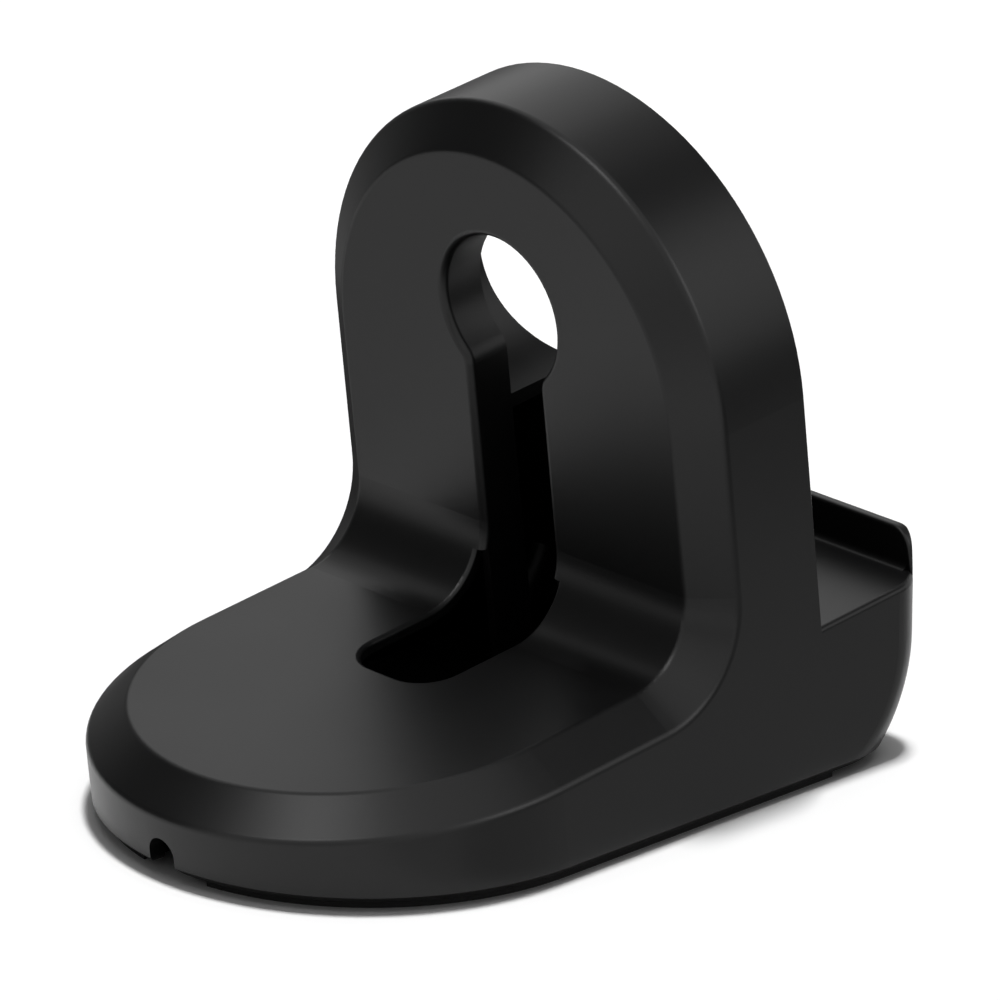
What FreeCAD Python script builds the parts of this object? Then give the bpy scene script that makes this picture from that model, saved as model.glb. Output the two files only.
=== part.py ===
import FreeCAD, Part
import math
import os

# Charging dock for a smartwatch: an arched upright on a long round-ended base.
# Millimetres. X is the width, -Y the long round end, +Y the shelf end, Z up.
# The body is first drawn standing straight: Y is then the distance behind the
# front face, Z the height. It is leaned back afterwards and cut flat below.

# Whole body
body_width = 60.0
lean_angle = 6.6
pad_thickness = 0.8

# Upright
upright_thickness = 15.3
arch_centre_height = 43.7
inner_corner_radius = 8.0
rear_edge_cut = 0.3

# Base
base_top_height = 16.8
base_straight_length = 23.7
bottom_edge_cut = 0.8

# Wide bevel round the front face and the base top
bevel_width = 4.7
bevel_depth = 3.4
bevel_edge_radius = 1.0

# Shelf and lip behind the upright
shelf_drop = 0.2
shelf_length = 16.7
rear_corner_radius = 5.0
rear_curve_height = 13.5
rear_curve_radius = 19.0
shelf_edge_radius = 0.6
lip_height = 4.6
lip_thickness = 1.3
lip_end_inset = 1.8
lip_end_slope = 0.9
lip_end_radius = 2.9
lip_edge_radius = 0.4
lip_foot_radius = 0.9

# Walls
skin = 1.3
channel_wall = 1.1
side_wall = 2.0
rear_skin = 1.6
rear_floor_thickness = 2.0
rear_floor_overlap = 2.0

# Keyhole through the upright and slot in the base
hole_radius = 8.5
hole_rise = 7.4
throat_radius = 2.5
slot_width = 10.6
keyhole_edge_radius = 0.85
wide_slot_rise = 4.8
slot_end_distance = 20.8
slot_corner_radius = 4.4
slot_edge_radius = 0.5
partition_setback = 0.2

# Pocket for the charging puck and the dish round it
puck_diameter = 28.0
puck_clearance = 0.1
pocket_floor_distance = 5.5
pocket_floor_thickness = 1.5
pocket_wall = 1.5
dish_radius = 16.6
dish_depth = 5.7
dish_half_straight = 8.0

# Cable notch at the front of the base
notch_width = 3.8
notch_height = 3.7
notch_mouth_radius = 1.0

# Pad
pad_inset = 1.1
pad_gap_width = 9.8
pad_gap_depth = 6.0
pad_rear_gap = 13.8
pad_corner_radius = 1.0

# Values that follow from the sizes above
half_width = body_width / 2
half_slot = slot_width / 2
half_wide_slot = half_slot + channel_wall
shelf_height = base_top_height - shelf_drop
wide_slot_top = base_top_height + wide_slot_rise
hole_centre_height = arch_centre_height + hole_rise
puck_radius = puck_diameter / 2 + puck_clearance
lean = math.radians(lean_angle)
far = 4 * body_width
tiny = 0.01
X_AXIS = FreeCAD.Vector(1, 0, 0)
Y_AXIS = FreeCAD.Vector(0, 1, 0)
Z_AXIS = FreeCAD.Vector(0, 0, 1)


def vec(x, y, z):
    return FreeCAD.Vector(x, y, z)


def box(x0, x1, y0, y1, z0, z1):
    return Part.makeBox(x1 - x0, y1 - y0, z1 - z0, vec(x0, y0, z0))


def arc_through(a, b, c):
    return Part.Arc(a, b, c).toShape()


def line(a, b):
    return Part.makeLine(a, b)


def solid_of(edges, direction):
    return Part.Face(Part.Wire(edges)).extrude(direction)


def rods(points, tail):
    # Closed outline of straight edges, pushed along tail.
    return Part.Face(Part.makePolygon(points + [points[0]])).extrude(tail)


def lean_back(shape):
    leant = shape.copy()
    leant.rotate(vec(0, 0, 0), X_AXIS, lean_angle)
    return leant


def leant_point(y, z):
    # World Y and Z of a point drawn standing straight.
    return (y * math.cos(lean) - z * math.sin(lean), y * math.sin(lean) + z * math.cos(lean))


def face_profile(half, depth, edge_radius, place):
    # Half of a cross-section, from the middle of the face over the bevel to the
    # side wall and down to the given depth; place(x, depth) sets a point in space.
    slope = math.atan2(bevel_depth, bevel_width)
    rest = math.pi / 2 - slope
    inner_cut = edge_radius * math.tan(slope / 2)
    outer_cut = edge_radius * math.tan(rest / 2)
    inner = half - bevel_width
    flat_end = place(inner - inner_cut, 0)
    bevel_start = place(inner + inner_cut * math.cos(slope), inner_cut * math.sin(slope))
    bevel_end = place(half - outer_cut * math.cos(slope), bevel_depth - outer_cut * math.sin(slope))
    wall_start = place(half, bevel_depth + outer_cut)
    edges = [line(place(0, 0), flat_end)]
    if edge_radius > 0:
        inner_middle = place(
            inner - inner_cut + edge_radius * math.sin(slope / 2),
            edge_radius * (1 - math.cos(slope / 2)),
        )
        edges.append(arc_through(flat_end, inner_middle, bevel_start))
    edges.append(line(bevel_start, bevel_end))
    if edge_radius > 0:
        outer_middle = place(
            half - edge_radius * (1 - math.cos(rest / 2)),
            bevel_depth + outer_cut - edge_radius * math.sin(rest / 2),
        )
        edges.append(arc_through(bevel_end, outer_middle, wall_start))
    edges.append(line(wall_start, place(half, depth)))
    return edges


def half_section(half, depth, edge_radius, place):
    # Closed half of the cross-section, to be turned about its middle line.
    edges = face_profile(half, depth, edge_radius, place)
    edges.append(line(place(half, depth), place(0, depth)))
    edges.append(line(place(0, depth), place(0, 0)))
    return Part.Face(Part.Wire(edges))


def whole_section(half, depth, edge_radius, place):
    # Both halves side by side, to be pushed or turned along the face.
    right = face_profile(half, depth, edge_radius, place)
    left = face_profile(half, depth, edge_radius, lambda x, d: place(-x, d))
    across = line(place(half, depth), place(-half, depth))
    return Part.Face(Part.Wire(left[::-1] + right + [across]))


def edges_where(shape, test):
    found = []
    for edge in shape.Edges:
        first, last = edge.ParameterRange
        points = [edge.valueAt(first + part * (last - first)) for part in (0.1, 0.5, 0.9)]
        if all(test(p) for p in points):
            found.append(edge)
    return found


def l_form(half, front, rear, top, radius, edge_radius):
    # Upright and base in one: the same bevelled section runs up one leg of the
    # arch, through the hollow corner and along the base.
    turn_y = front - radius
    turn_z = top + radius
    bevel_zone = bevel_depth + edge_radius
    turn_depth = math.sqrt(2) * (radius + bevel_zone) - radius
    round_y = -base_straight_length

    def in_upright(x, d):
        return vec(x, front + d, arch_centre_height)

    def in_turn(x, d):
        return vec(x, front + d, turn_z)

    def in_base(x, d):
        return vec(x, round_y, top - d)

    thickness = rear - front
    arch = half_section(half, thickness, edge_radius, in_upright)
    arch = arch.revolve(vec(0, 0, arch_centre_height), Y_AXIS, -180)
    leg = whole_section(half, thickness, edge_radius, in_upright)
    leg = leg.extrude(vec(0, 0, turn_z - arch_centre_height))
    turn = whole_section(half, turn_depth, edge_radius, in_turn)
    turn = turn.revolve(vec(0, turn_y, turn_z), X_AXIS, -90)
    straight = whole_section(half, top + far, edge_radius, in_base)
    straight = straight.extrude(vec(0, turn_y - round_y, 0))
    nose = half_section(half, top + far, edge_radius, in_base)
    nose = nose.revolve(vec(0, round_y, 0), Z_AXIS, -180)
    behind = box(-half, half, front + bevel_zone, rear, -far, turn_z)
    below = box(-half, half, turn_y, rear, -far, top - bevel_zone)
    return arch.fuse([leg, turn, straight, nose, behind, below]).removeSplitter()


# Where the shelf's level meets the rear wall, in the world
shelf_end = upright_thickness + shelf_length
rear_wall_y = leant_point(shelf_end, shelf_height)[0]
shelf_end_z = leant_point(shelf_end, shelf_height)[1]
# Centre of the base's round end on the cut underside, in the world
foot_lift = (pad_thickness + base_straight_length * math.sin(lean)) / math.cos(lean)
round_end_y = leant_point(-base_straight_length, foot_lift)[0]


def rear_outline(inset, low):
    # All that lies in front of the rear wall and its curved foot.
    wall = rear_wall_y - inset
    radius = rear_curve_radius - inset
    top = rear_curve_height
    centre_y = rear_wall_y - rear_curve_radius
    turn = math.asin((top - low) / radius)
    foot = vec(-half_width, centre_y + radius * math.cos(turn), low)
    middle_y = centre_y + radius * math.cos(turn / 2)
    middle_z = top - radius * math.sin(turn / 2)
    edges = [
        line(vec(-half_width, -far, low), vec(-half_width, -far, far)),
        line(vec(-half_width, -far, far), vec(-half_width, wall, far)),
        line(vec(-half_width, wall, far), vec(-half_width, wall, top)),
        arc_through(vec(-half_width, wall, top), vec(-half_width, middle_y, middle_z), foot),
        line(foot, vec(-half_width, -far, low)),
    ]
    return solid_of(edges, vec(body_width, 0, 0))


def rear_block(inset, low, high):
    # Block behind the front face; its two rear corners are rounded all the
    # way down the wall and along the curved foot.
    half = half_width - inset
    block = box(-half, half, 0, far, low, high).common(rear_outline(inset, low))

    def at_corner(p):
        return abs(abs(p.x) - half) < tiny and p.y > tiny and low + tiny < p.z < high - tiny

    return block.makeFillet(rear_corner_radius - inset, edges_where(block, at_corner))


def whole_form(inset, front, rear, top, radius, edge_radius, shelf_top, low):
    # Upright, base and rear block as one leaning solid, cut flat at low.
    half = half_width - inset
    leant = lean_back(l_form(half, front, rear, top, radius, edge_radius))
    level = lean_back(box(-far, far, -far, far, -far, shelf_top))
    block = rear_block(inset, low, far).common(level)
    form = leant.common(rear_outline(inset, low)).fuse(block)
    return form.removeSplitter().Solids[0]


def keyhole(radius, half, low, y0, y1):
    # Round hole with a straight slot below it, through from y0 to y1; the
    # corners where the two meet are rounded by the throat radius.
    centre = hole_centre_height
    reach = radius + throat_radius
    across = half + throat_radius
    turn = math.acos(across / reach)
    throat_height = centre - reach * math.sin(turn)

    def throat(side, angle):
        x = across - throat_radius * math.cos(angle)
        return vec(side * x, y0, throat_height + throat_radius * math.sin(angle))

    edges = [
        line(vec(-half, y0, low), throat(-1, 0)),
        arc_through(throat(-1, 0), throat(-1, turn / 2), throat(-1, turn)),
        arc_through(throat(-1, turn), vec(0, y0, centre + radius), throat(1, turn)),
        arc_through(throat(1, turn), throat(1, turn / 2), throat(1, 0)),
        line(throat(1, 0), vec(half, y0, low)),
        line(vec(half, y0, low), vec(-half, y0, low)),
    ]
    return solid_of(edges, vec(0, y1 - y0, 0))


def cylinder_back(radius, y0, y1):
    return Part.makeCylinder(radius, y1 - y0, vec(0, y0, hole_centre_height), Y_AXIS)


def dish(radius):
    # Bar with round ends lying across the upright behind its rear face.
    depth_centre = upright_thickness - dish_depth + dish_radius
    start = vec(-dish_half_straight, depth_centre, hole_centre_height)
    end = vec(dish_half_straight, depth_centre, hole_centre_height)
    bar = Part.makeCylinder(radius, 2 * dish_half_straight, start, X_AXIS)
    return bar.fuse([Part.makeSphere(radius, start), Part.makeSphere(radius, end)])


def straight_point(p):
    # A world point carried back to the upright drawing.
    return vec(p.x, p.y * math.cos(lean) + p.z * math.sin(lean), p.z * math.cos(lean) - p.y * math.sin(lean))


def on_underside(p):
    return abs(p.z - pad_thickness) < tiny


def on_shelf_rim(p):
    q = straight_point(p)
    return abs(q.z - shelf_height) < tiny and q.y > upright_thickness + tiny


def on_rear_edge(p):
    q = straight_point(p)
    return abs(q.y - upright_thickness) < tiny and q.z > shelf_height + tiny


def on_keyhole_edge(p):
    q = straight_point(p)
    in_height = wide_slot_top + tiny < q.z < hole_centre_height + hole_radius + tiny
    return abs(q.y) < tiny and abs(q.x) < hole_radius + tiny and in_height


def on_slot_corner(p):
    return abs(p.y + slot_end_distance) < tiny and abs(abs(p.x) - half_wide_slot) < tiny


def on_gap_corner(p):
    return abs(p.y - gap_end) < tiny and abs(abs(p.x) - gap_half) < tiny


def on_front_rim(p):
    return abs(p.y - lip_inner_y) < tiny and p.z > lip_root_z + tiny


def on_lip_corner(p):
    return abs(p.z - lip_top_z) < tiny and p.y > lip_inner_y + tiny and abs(p.x) > tiny


def on_block_top(p):
    return abs(p.z - lip_top_z) < tiny and p.y > tiny


def on_slot_rim(p):
    q = straight_point(p)
    on_side = abs(abs(q.x) - half_wide_slot) < tiny and q.z < wide_slot_top - tiny
    at_end = abs(q.z - base_top_height) < tiny and abs(q.x) < half_wide_slot + tiny
    corner_y = -inner_corner_radius
    corner_z = base_top_height + inner_corner_radius
    from_corner = math.hypot(q.y - corner_y, q.z - corner_z)
    on_top = abs(q.z - base_top_height) < tiny and q.y < corner_y + tiny
    on_turn = abs(from_corner - inner_corner_radius) < tiny and q.y > corner_y - tiny
    return (on_side or at_end) and (on_top or on_turn) and q.y > -slot_end_distance - tiny


# Outside of the body with its rounded edges
outer = whole_form(
    0, 0, upright_thickness, base_top_height, inner_corner_radius,
    bevel_edge_radius, shelf_height, pad_thickness,
)
outer = outer.makeChamfer(bottom_edge_cut, edges_where(outer, on_underside))
outer = outer.makeFillet(shelf_edge_radius, edges_where(outer, on_shelf_rim))
outer = outer.makeChamfer(rear_edge_cut, edges_where(outer, on_rear_edge))

# Lip along the rear wall, running out at both rounded corners
lip_inner_y = rear_wall_y - lip_thickness
lip_foot_z = (shelf_height + lip_inner_y * math.sin(lean)) / math.cos(lean)
lip_top_z = lip_foot_z + lip_height
lip_root_z = lip_foot_z - lip_thickness
lip_half = half_width - lip_end_inset
lip_half_top = lip_half - lip_end_slope
lip_half_root = lip_half + lip_end_slope * lip_thickness / lip_height
lip_outline = [
    vec(-lip_half_root, lip_inner_y, lip_root_z),
    vec(-lip_half_top, lip_inner_y, lip_top_z),
    vec(lip_half_top, lip_inner_y, lip_top_z),
    vec(lip_half_root, lip_inner_y, lip_root_z),
]
lip_plate = rods(lip_outline, vec(0, far, 0))
lip_plate = lip_plate.makeFillet(lip_end_radius, edges_where(lip_plate, on_lip_corner))
lip_plate = lip_plate.makeFillet(lip_edge_radius, edges_where(lip_plate, on_front_rim))
lip_block = rear_block(0, pad_thickness, lip_top_z)
lip_block = lip_block.makeFillet(lip_edge_radius, edges_where(lip_block, on_block_top))
lip = lip_block.common(lip_plate)

# Rounded foot of the lip: its arc touches the leaning shelf and the upright lip
foot_reach = lip_foot_radius / math.tan((math.pi / 2 + lean) / 2)
foot_turn = (math.pi / 2 - lean) / 2
foot_start = vec(
    -lip_half_top,
    lip_inner_y - foot_reach * math.cos(lean),
    lip_foot_z - foot_reach * math.sin(lean),
)
foot_end = vec(-lip_half_top, lip_inner_y, lip_foot_z + foot_reach)
foot_middle = vec(
    -lip_half_top,
    lip_inner_y - lip_foot_radius * (1 - math.cos(foot_turn)),
    lip_foot_z + foot_reach - lip_foot_radius * math.sin(foot_turn),
)
foot_inside = vec(-lip_half_top, lip_inner_y + lip_thickness / 2, lip_foot_z + foot_reach)
foot_below = vec(-lip_half_top, lip_inner_y + lip_thickness / 2, lip_root_z)
foot_front = vec(-lip_half_top, foot_start.y, lip_root_z)
foot_edges = [
    arc_through(foot_start, foot_middle, foot_end),
    line(foot_end, foot_inside),
    line(foot_inside, foot_below),
    line(foot_below, foot_front),
    line(foot_front, foot_start),
]
foot = solid_of(foot_edges, vec(2 * lip_half_top, 0, 0))
outer = outer.fuse([lip, foot]).removeSplitter().Solids[0]

# Hollow, open below but closed behind the pad
pad_rear = rear_wall_y - pad_rear_gap
hollow = whole_form(
    side_wall, skin, upright_thickness - rear_skin, base_top_height - skin,
    inner_corner_radius + skin, 0, shelf_height - rear_skin, pad_thickness,
)
rear_floor = box(-far, far, pad_rear - rear_floor_overlap, far, 0, pad_thickness + rear_floor_thickness)
hollow = hollow.cut(rear_floor)

# Walls left standing inside: the cable channel, the puck cup and the dish
channel = keyhole(hole_radius + channel_wall, half_wide_slot, -far, partition_setback, pocket_floor_distance)
cup = cylinder_back(puck_radius + pocket_wall, pocket_floor_distance - pocket_floor_thickness, upright_thickness)
inside = lean_back(channel.fuse([cup, dish(dish_radius + pocket_wall)])).common(hollow)
body = outer.cut(hollow).fuse(inside)

# Keyhole, cable passage, puck pocket, slot in the base and dish
through = keyhole(hole_radius, half_slot, wide_slot_top, -skin, pocket_floor_distance)
passage = box(
    -half_slot, half_slot, partition_setback, upright_thickness - rear_skin,
    -far, hole_centre_height,
)
pocket = cylinder_back(puck_radius, pocket_floor_distance, far)
wide_slot = box(
    -half_wide_slot, half_wide_slot, -slot_end_distance, partition_setback,
    base_top_height - 2 * skin, wide_slot_top,
)
wide_slot = wide_slot.makeFillet(slot_corner_radius, edges_where(wide_slot, on_slot_corner))
openings = [lean_back(shape) for shape in (through, passage, pocket, wide_slot, dish(dish_radius))]
body = body.cut(openings)

# Cable notch through the wall of the round end, its mouth rounded below
notch_half = notch_width / 2
notch_spring = pad_thickness + notch_height - notch_half
mouth_half = notch_half + notch_mouth_radius
mouth_top = pad_thickness + notch_mouth_radius
bend = notch_mouth_radius * (1 - math.sqrt(0.5))
notch_end = round_end_y - half_width + 2 * side_wall


def notch_point(x, z):
    return vec(x, -far, z)


notch_edges = [
    arc_through(
        notch_point(-mouth_half, pad_thickness),
        notch_point(-notch_half - bend, pad_thickness + bend),
        notch_point(-notch_half, mouth_top),
    ),
    line(notch_point(-notch_half, mouth_top), notch_point(-notch_half, notch_spring)),
    arc_through(
        notch_point(-notch_half, notch_spring),
        notch_point(0, notch_spring + notch_half),
        notch_point(notch_half, notch_spring),
    ),
    line(notch_point(notch_half, notch_spring), notch_point(notch_half, mouth_top)),
    arc_through(
        notch_point(notch_half, mouth_top),
        notch_point(notch_half + bend, pad_thickness + bend),
        notch_point(mouth_half, pad_thickness),
    ),
    line(notch_point(mouth_half, pad_thickness), notch_point(mouth_half, 0)),
    line(notch_point(mouth_half, 0), notch_point(-mouth_half, 0)),
    line(notch_point(-mouth_half, 0), notch_point(-mouth_half, pad_thickness)),
]
body = body.cut(solid_of(notch_edges, vec(0, far + notch_end, 0))).removeSplitter()
body = body.makeFillet(keyhole_edge_radius, edges_where(body, on_keyhole_edge)).Solids[0]
body = body.makeFillet(slot_edge_radius, edges_where(body, on_slot_rim)).Solids[0]

# Pad under the body, with a gap below the notch
pad_half = half_width - pad_inset
pad_edges = [
    line(vec(-pad_half, pad_rear, 0), vec(-pad_half, round_end_y, 0)),
    arc_through(
        vec(-pad_half, round_end_y, 0),
        vec(0, round_end_y - pad_half, 0),
        vec(pad_half, round_end_y, 0),
    ),
    line(vec(pad_half, round_end_y, 0), vec(pad_half, pad_rear, 0)),
    line(vec(pad_half, pad_rear, 0), vec(-pad_half, pad_rear, 0)),
]
pad = solid_of(pad_edges, vec(0, 0, pad_thickness))
gap_half = pad_gap_width / 2
gap_end = round_end_y - pad_half + pad_gap_depth
gap = box(-gap_half, gap_half, -far, gap_end, -far, far)
gap = gap.makeFillet(pad_corner_radius, edges_where(gap, on_gap_corner))
pad = pad.cut(gap)

# Origin: middle of the footprint, on the table
bounds = body.optimalBoundingBox()
to_origin = vec(0, -(bounds.YMin + bounds.YMax) / 2, 0)
body.translate(to_origin)
pad.translate(to_origin)

os.makedirs("parts", exist_ok=True)
body.exportStep("parts/body.step")
pad.exportStep("parts/pad.step")
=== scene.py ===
import math

import bpy
from mathutils import Matrix, Vector

# Camera: where it looks, from which side, how far off and how long the lens is
LOOK_AT = Vector((-0.00577, 0.01236, 0.02639))
CAMERA_AZIMUTH = math.radians(46.493)
CAMERA_ELEVATION = math.radians(20.934)
CAMERA_DISTANCE = 1.04313
CAMERA_REACH = 20.0
LENS_MM = 349.2
SENSOR_MM = 36.0

# Studio: a white backdrop all round and a table that looks as white as the backdrop
WORLD_STRENGTH = 0.1
BACKDROP_WHITE = 1.0
FLOOR_COLOUR = 0.85
FLOOR_WHITE = 1.05
FLOOR_SIZE = 8.0
MAT_HEIGHT = 0.0005
ROOF_BACK = (0.72, 0.52)

# Materials: colours of the two pieces, and how far tone and gloss wander on both
BODY_COLOUR = (0.0026, 0.0026, 0.0027, 1.0)
PAD_COLOUR = (0.004, 0.004, 0.004, 1.0)
GRAIN_STRENGTH = 0.35
GRAIN_DETAIL = 3.0
CLOUD_SCALE = 60.0
CLOUD_DETAIL = 2.0
GLOSS_SPREAD = 0.03
TONE_SPREAD = 0.08
WHITE = (1.0, 1.0, 1.0, 1.0)

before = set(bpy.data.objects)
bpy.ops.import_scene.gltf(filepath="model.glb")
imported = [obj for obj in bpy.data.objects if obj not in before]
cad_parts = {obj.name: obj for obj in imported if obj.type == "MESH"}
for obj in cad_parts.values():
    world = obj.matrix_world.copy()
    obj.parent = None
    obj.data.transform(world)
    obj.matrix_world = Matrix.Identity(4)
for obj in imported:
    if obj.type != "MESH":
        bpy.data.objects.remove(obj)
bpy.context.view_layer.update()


def node_material(name):
    material = bpy.data.materials.new(name)
    material.use_nodes = True
    tree = material.node_tree
    tree.nodes.clear()
    return material, tree


def grained_material(name, colour, roughness, specular, grain_scale, grain_depth):
    # Moulded surface: one colour with fine changes of tone and gloss and an even grain.
    material, tree = node_material(name)
    nodes, links = tree.nodes, tree.links
    output = nodes.new("ShaderNodeOutputMaterial")
    shader = nodes.new("ShaderNodeBsdfPrincipled")
    shader.inputs["Specular IOR Level"].default_value = specular
    links.new(shader.outputs["BSDF"], output.inputs["Surface"])

    place = nodes.new("ShaderNodeTexCoord")
    grain = nodes.new("ShaderNodeTexNoise")
    grain.inputs["Scale"].default_value = grain_scale
    grain.inputs["Detail"].default_value = GRAIN_DETAIL
    links.new(place.outputs["Object"], grain.inputs["Vector"])
    bump = nodes.new("ShaderNodeBump")
    bump.inputs["Strength"].default_value = GRAIN_STRENGTH
    bump.inputs["Distance"].default_value = grain_depth
    links.new(grain.outputs["Fac"], bump.inputs["Height"])
    links.new(bump.outputs["Normal"], shader.inputs["Normal"])

    cloud = nodes.new("ShaderNodeTexNoise")
    cloud.inputs["Scale"].default_value = CLOUD_SCALE
    cloud.inputs["Detail"].default_value = CLOUD_DETAIL
    links.new(place.outputs["Object"], cloud.inputs["Vector"])
    gloss = nodes.new("ShaderNodeMapRange")
    gloss.inputs["To Min"].default_value = roughness - GLOSS_SPREAD
    gloss.inputs["To Max"].default_value = roughness + GLOSS_SPREAD
    links.new(cloud.outputs["Fac"], gloss.inputs["Value"])
    links.new(gloss.outputs["Result"], shader.inputs["Roughness"])

    tone = nodes.new("ShaderNodeMix")
    tone.data_type = "RGBA"
    tone.inputs["A"].default_value = [(1.0 - TONE_SPREAD) * value for value in colour[:3]] + [1.0]
    tone.inputs["B"].default_value = [(1.0 + TONE_SPREAD) * value for value in colour[:3]] + [1.0]
    links.new(cloud.outputs["Fac"], tone.inputs["Factor"])
    links.new(tone.outputs["Result"], shader.inputs["Base Color"])
    return material


def seen_directly(nodes, links):
    # 1 for rays from the camera and for those that a gloss or glass sends on.
    path = nodes.new("ShaderNodeLightPath")
    first = nodes.new("ShaderNodeMath")
    first.operation = "MAXIMUM"
    links.new(path.outputs["Is Camera Ray"], first.inputs[0])
    links.new(path.outputs["Is Glossy Ray"], first.inputs[1])
    either = nodes.new("ShaderNodeMath")
    either.operation = "MAXIMUM"
    links.new(first.outputs["Value"], either.inputs[0])
    links.new(path.outputs["Is Transmission Ray"], either.inputs[1])
    return either.outputs["Value"]


def white_world():
    world = bpy.data.worlds.new("studio")
    bpy.context.scene.world = world
    world.use_nodes = True
    nodes, links = world.node_tree.nodes, world.node_tree.links
    nodes.clear()
    output = nodes.new("ShaderNodeOutputWorld")
    around = nodes.new("ShaderNodeBackground")
    around.inputs["Color"].default_value = WHITE
    strength = nodes.new("ShaderNodeMapRange")
    strength.inputs["To Min"].default_value = WORLD_STRENGTH
    strength.inputs["To Max"].default_value = BACKDROP_WHITE
    links.new(seen_directly(nodes, links), strength.inputs["Value"])
    links.new(strength.outputs["Result"], around.inputs["Strength"])
    links.new(around.outputs["Background"], output.inputs["Surface"])


def white_floor():
    # White table that keeps the shadow; seen directly it is as white as the backdrop.
    bpy.ops.mesh.primitive_plane_add(size=FLOOR_SIZE, location=(0.0, 0.0, 0.0))
    floor = bpy.context.object
    floor.name = "floor"
    material, tree = node_material("floor_white")
    nodes, links = tree.nodes, tree.links
    output = nodes.new("ShaderNodeOutputMaterial")
    matt = nodes.new("ShaderNodeBsdfDiffuse")
    tone = nodes.new("ShaderNodeMapRange")
    tone.inputs["To Min"].default_value = FLOOR_COLOUR
    tone.inputs["To Max"].default_value = FLOOR_WHITE
    links.new(seen_directly(nodes, links), tone.inputs["Value"])
    links.new(tone.outputs["Result"], matt.inputs["Color"])
    links.new(matt.outputs["BSDF"], output.inputs["Surface"])
    floor.data.materials.append(material)


def studio_card(name, tone_level, corners):
    # Card of a photo studio: only glossy reflections see it, so it neither shades
    # the dock nor shows in front of the camera. Tone 1 is as bright as the backdrop.
    mesh = bpy.data.meshes.new(name)
    mesh.from_pydata(corners, [], [(0, 1, 2, 3)])
    card = bpy.data.objects.new(name, mesh)
    bpy.context.collection.objects.link(card)
    material, tree = node_material(name)
    output = tree.nodes.new("ShaderNodeOutputMaterial")
    tone = tree.nodes.new("ShaderNodeEmission")
    tone.inputs["Color"].default_value = WHITE
    tone.inputs["Strength"].default_value = tone_level
    tree.links.new(tone.outputs["Emission"], output.inputs["Surface"])
    mesh.materials.append(material)
    card.visible_camera = False
    card.visible_diffuse = False
    card.visible_shadow = False


def standing_card(name, tone_level, start, end, height):
    # Upright card over the line from start to end on the table.
    studio_card(name, tone_level, [(*start, 0.0), (*end, 0.0), (*end, height), (*start, height)])


def lying_card(name, tone_level, low, high):
    # Mat on the table between two opposite corners.
    (x0, y0), (x1, y1) = low, high
    outline = [(x0, y0), (x1, y0), (x1, y1), (x0, y1)]
    studio_card(name, tone_level, [(x, y, MAT_HEIGHT) for x, y in outline])


def roof_card(name, tone_level, left, right, front):
    # Card that hangs over the back of the table and slopes down from its front edge.
    outline = [(left, *front), (right, *front), (right, *ROOF_BACK), (left, *ROOF_BACK)]
    studio_card(name, tone_level, outline)


def soft_lamp(name, azimuth, elevation, distance, size, power, in_gloss):
    # Square soft box aimed at the dock; azimuth 0 is the -Y side, 90 the +X side.
    # It either shows as a highlight in the gloss or lights the table.
    a, e = math.radians(azimuth), math.radians(elevation)
    towards = Vector((math.sin(a) * math.cos(e), -math.cos(a) * math.cos(e), math.sin(e)))
    lamp = bpy.data.lights.new(name, "AREA")
    lamp.shape = "SQUARE"
    lamp.size = size
    lamp.energy = power
    placed = bpy.data.objects.new(name, lamp)
    placed.location = LOOK_AT + distance * towards
    placed.rotation_euler = towards.to_track_quat("Z", "Y").to_euler()
    placed.visible_glossy = in_gloss
    placed.visible_diffuse = not in_gloss
    bpy.context.collection.objects.link(placed)


def photo_camera():
    a, e = CAMERA_AZIMUTH, CAMERA_ELEVATION
    right = Vector((math.cos(a), math.sin(a), 0.0))
    back = Vector((math.sin(a) * math.cos(e), -math.cos(a) * math.cos(e), math.sin(e)))
    up = back.cross(right)
    camera = bpy.data.cameras.new("camera")
    camera.lens = LENS_MM
    camera.sensor_width = SENSOR_MM
    camera.clip_end = CAMERA_REACH
    placed = bpy.data.objects.new("camera", camera)
    placed.matrix_world = Matrix.Translation(LOOK_AT + CAMERA_DISTANCE * back) @ Matrix(
        (right, up, back)
    ).transposed().to_4x4()
    bpy.context.collection.objects.link(placed)
    bpy.context.scene.camera = placed


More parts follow.
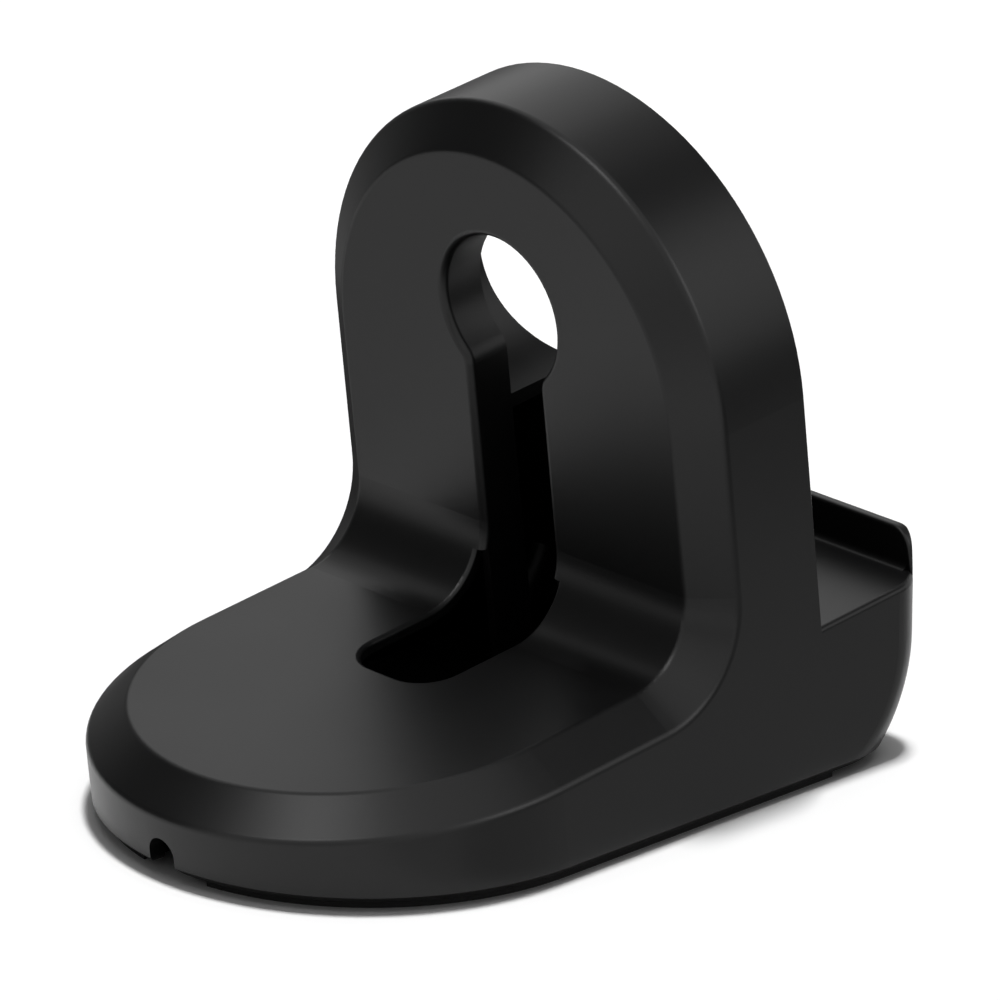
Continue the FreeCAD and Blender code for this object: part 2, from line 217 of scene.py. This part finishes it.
body_plastic = grained_material(
    "satin_black_plastic", BODY_COLOUR, roughness=0.35, specular=0.32, grain_scale=5200.0, grain_depth=0.00002
)
pad_rubber = grained_material(
    "matt_black_rubber", PAD_COLOUR, roughness=0.75, specular=0.2, grain_scale=3000.0, grain_depth=0.00003
)
for node, material in (("body", body_plastic), ("pad", pad_rubber)):
    for material_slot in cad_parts[node].material_slots:
        material_slot.material = material

white_world()
white_floor()

# Dark cards to the left, and low ones in front and behind, which the sides and bevels mirror
standing_card("left_card", 0.06, (-0.35, -0.75), (-0.35, -0.06), 0.7)
standing_card("left_card_rear", 0.2, (-0.35, -0.06), (-0.35, 0.12), 0.35)
standing_card("left_back_card", 0.1, (-0.35, 0.12), (-0.1, 0.4), 0.1)
standing_card("front_right_card", 0.55, (0.05, -0.7), (0.55, -0.5), 0.13)
standing_card("right_back_card", 0.15, (0.2, 0.4), (0.45, 0.0), 0.07)

# Mats round the dock, which the walls mirror
lying_card("left_mat", 0.05, (-0.14, 0.0), (-0.032, 0.5))
lying_card("left_far_mat", 0.22, (-0.5, 0.0), (-0.14, 0.2))
lying_card("front_mat", 0.75, (-0.6, -0.6), (-0.06, 0.0))
lying_card("right_mat", 0.54, (0.032, -0.025), (0.1, 0.2))
lying_card("nose_mat", 1.1, (-0.06, -0.12), (0.1, -0.043))
lying_card("corner_mat", 0.75, (0.031, -0.043), (0.1, -0.025))
lying_card("far_mat", 0.2, (0.1, -0.02), (0.6, 0.6))

# Two cards overhead, which the arch's rim and the base's right bevel mirror
roof_card("roof_left", 0.2, -0.28, 0.04, (0.42, 0.8))
roof_card("roof_right", 0.05, 0.04, 0.36, (0.3, 0.86))

# Soft boxes for the bright streaks, then the two lamps over the table
soft_lamp("front_light", 1.0, 59.0, distance=1.0, size=0.4, power=2.3, in_gloss=True)
soft_lamp("right_light", 103.0, 33.0, distance=1.0, size=0.45, power=1.4, in_gloss=True)
soft_lamp("top_small", 200.0, 85.8, distance=2.5, size=0.3, power=49.0, in_gloss=False)
soft_lamp("top_large", 200.0, 80.0, distance=2.5, size=2.5, power=12.5, in_gloss=False)

photo_camera()
bpy.context.scene.view_settings.view_transform = "Standard"
